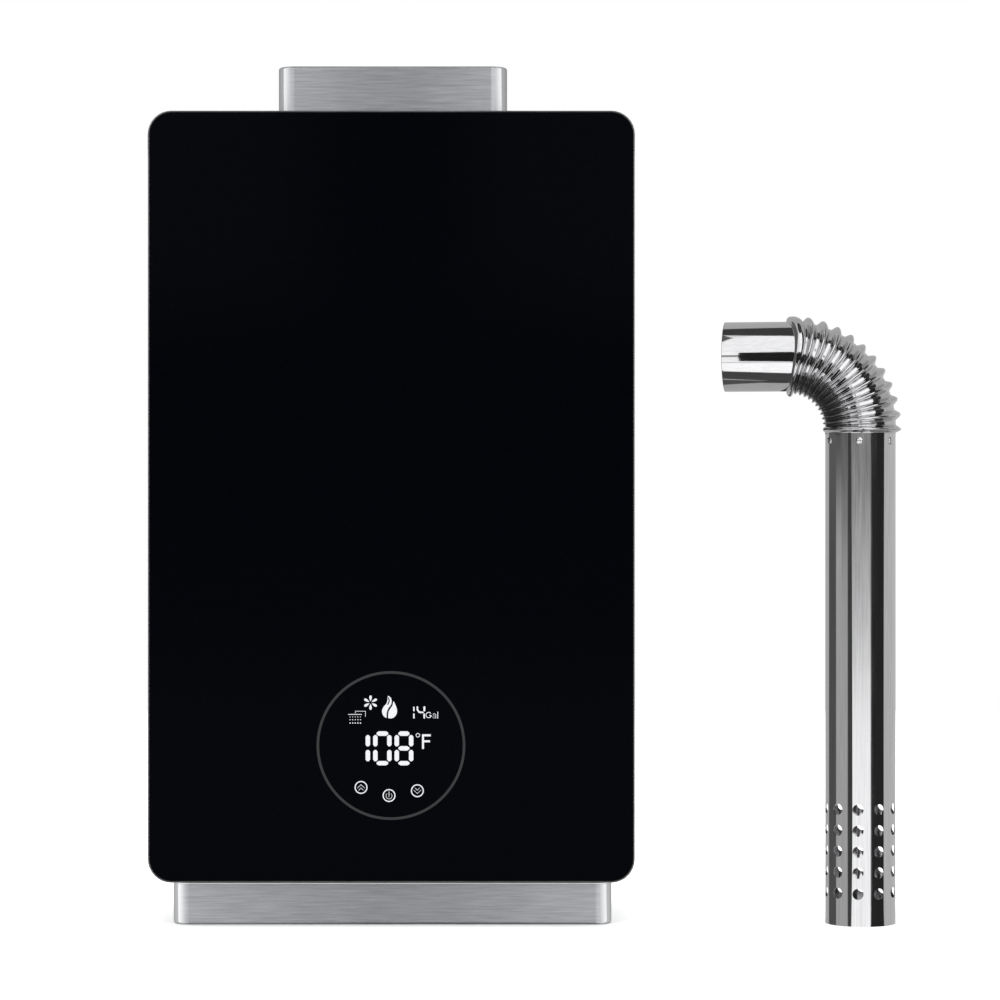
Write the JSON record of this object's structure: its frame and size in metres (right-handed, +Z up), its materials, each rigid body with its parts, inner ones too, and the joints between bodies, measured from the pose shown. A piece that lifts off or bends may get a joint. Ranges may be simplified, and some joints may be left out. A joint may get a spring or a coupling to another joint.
{
  "type": "tankless water heater",
  "caption": "Wall-hung propane tankless water heater with a black glass touch front, brushed steel casing and flue cowl, and a loose polished flue pipe with a ribbed elbow.",
  "frame": {"origin": "on the floor under the middle of the heater's width and depth, in the plane of the base rim", "axes": "+X to the right of the glass front, +Y back to the wall, +Z up"},
  "size_m": [0.5457, 0.15, 0.624],
  "materials": {
    "brushed_steel": "horizontal brush grain, satin",
    "galvanised": "zinc coated sheet",
    "rim_metal": "bright edge",
    "black_glass": "gloss, opaque black back print",
    "polished_steel": "mirror polish",
    "steel": "bright zinc",
    "dark_steel": "heat darkened",
    "alloy": "cast, matte",
    "copper": "copper, satin",
    "brass": "turned brass",
    "black_plastic": "moulded, matte",
    "white_plastic": "moulded, matte",
    "board_green": "coated board",
    "rubber": "soft, matte",
    "ceramic": "unglazed white"
  },
  "bodies": {
    "chassis": {"skirt": "brushed_steel", "bottom_plate": "galvanised", "back_plate": "galvanised", "top_plate": "galvanised", "exchanger_brackets": "galvanised", "flue_cowl": "brushed_steel", "flue_outlet": "polished_steel", "flue_seal": "rubber", "fume_hood": "galvanised", "fan_volute": "galvanised", "fan_motor": "dark_steel", "pressure_switch": "white_plastic", "pressure_hose": "rubber", "exchanger_shell": "copper", "exchanger_fins": "copper", "exchanger_tube": "copper", "coil_tube": "copper", "overheat_cutoff": "white_plastic", "burner_box": "galvanised", "burner_bars": "dark_steel", "gas_manifold": "alloy", "gas_nozzles": "brass", "electrode_insulators": "ceramic", "electrode_pins": "steel", "gas_inlet": "brass", "gas_valve": "alloy", "gas_riser": "alloy", "solenoid_coils": "copper", "cold_inlet": "brass", "inlet_filter": "black_plastic", "flow_sensor": "black_plastic", "cold_pipe": "copper", "hot_pipe": "copper", "hot_outlet": "brass", "drain_valve": "brass", "lock_nuts": "brass", "control_box": "galvanised", "control_board": "board_green", "ignition_module": "black_plastic", "cable_gland": "black_plastic"},
    "front_cover": {"front_casing": "brushed_steel", "cover_screws": "steel", "bezel_frame": "rim_metal", "glass_panel": "black_glass", "display_light_box": "white_plastic", "display_board": "board_green", "touch_springs": "steel"},
    "fan_wheel": {"fan_shaft": "steel", "fan_impeller": "alloy"},
    "flow_rotor": {"flow_rotor": "white_plastic"},
    "main_plunger": {"main_plunger": "steel"},
    "modulating_plunger": {"modulating_plunger": "steel"},
    "drain_stem": {"drain_stem": "steel"},
    "drain_knob": {"drain_knob": "black_plastic"},
    "flue_pipe": {"flue_spigot": "polished_steel", "flue_elbow": "polished_steel", "flue_duct": "polished_steel", "flue_neck": "polished_steel", "flue_rivets": "polished_steel"}
  },
  "joints": [
    {"name": "cover_slide", "type": "slide", "parent": "chassis", "child": "front_cover", "axis": [0, -1, 0], "range_m": [0, 0.14]},
    {"name": "fan_spin", "type": "hinge", "parent": "chassis", "child": "fan_wheel", "pos_m": [-0.028, 0, 0.5073], "axis": [0, 1, 0], "continuous": true},
    {"name": "flow_rotor_spin", "type": "hinge", "parent": "chassis", "child": "flow_rotor", "pos_m": [0.07729, 0.03, 0.08], "axis": [0, 0, 1], "continuous": true},
    {"name": "main_valve_lift", "type": "slide", "parent": "chassis", "child": "main_plunger", "axis": [0, 0, 1], "range_m": [0, 0.003], "stiffness_N_per_m": 200, "springref_m": -0.004},
    {"name": "modulating_valve_lift", "type": "slide", "parent": "chassis", "child": "modulating_plunger", "axis": [0, 0, 1], "range_m": [0, 0.003], "stiffness_N_per_m": 200, "springref_m": -0.004},
    {"name": "drain_stem_travel", "type": "slide", "parent": "chassis", "child": "drain_stem", "axis": [0, 0, -1], "range_m": [0, 0.004]},
    {"name": "drain_knob_turn", "type": "hinge", "parent": "drain_stem", "child": "drain_knob", "pos_m": [0.12529, 0.03, 0.013], "axis": [0, 0, -1], "range_deg": [0, 720]},
    {"name": "flue_pipe_lift", "type": "slide", "parent": "chassis", "child": "flue_pipe", "axis": [0, 0, 1], "range_m": [0, 0.25]}
  ],
  "couplings": [
    {"joint": "drain_knob_turn", "follows": "drain_stem_travel", "rad_per_m": 3141.6}
  ]
}
